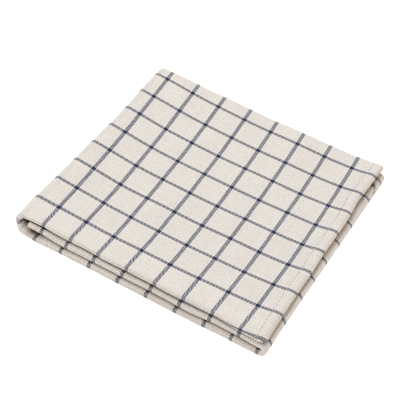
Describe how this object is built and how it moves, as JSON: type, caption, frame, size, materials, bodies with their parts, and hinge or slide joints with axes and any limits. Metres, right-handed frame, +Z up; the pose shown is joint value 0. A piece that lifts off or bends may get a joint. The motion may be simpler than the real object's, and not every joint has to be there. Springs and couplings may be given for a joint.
{
  "type": "folded cloth napkin",
  "caption": "Woven cloth napkin with a windowpane check and stitched hems, letter-folded along and across into a soft flat bundle.",
  "frame": {"origin": "on the table, under the middle of the folded napkin's bounding box", "axes": "+Z up through the layers, +X along the longer side towards the fold that lies under the stitched hem, +Y to the back, away from the three rolled folds"},
  "size_m": [0.1638, 0.1408, 0.0158],
  "materials": {
    "cloth": "matte plain weave, natural cream with thin navy windowpane lines"
  },
  "bodies": {
    "root": {"napkin": "cloth"}
  },
  "joints": []
}
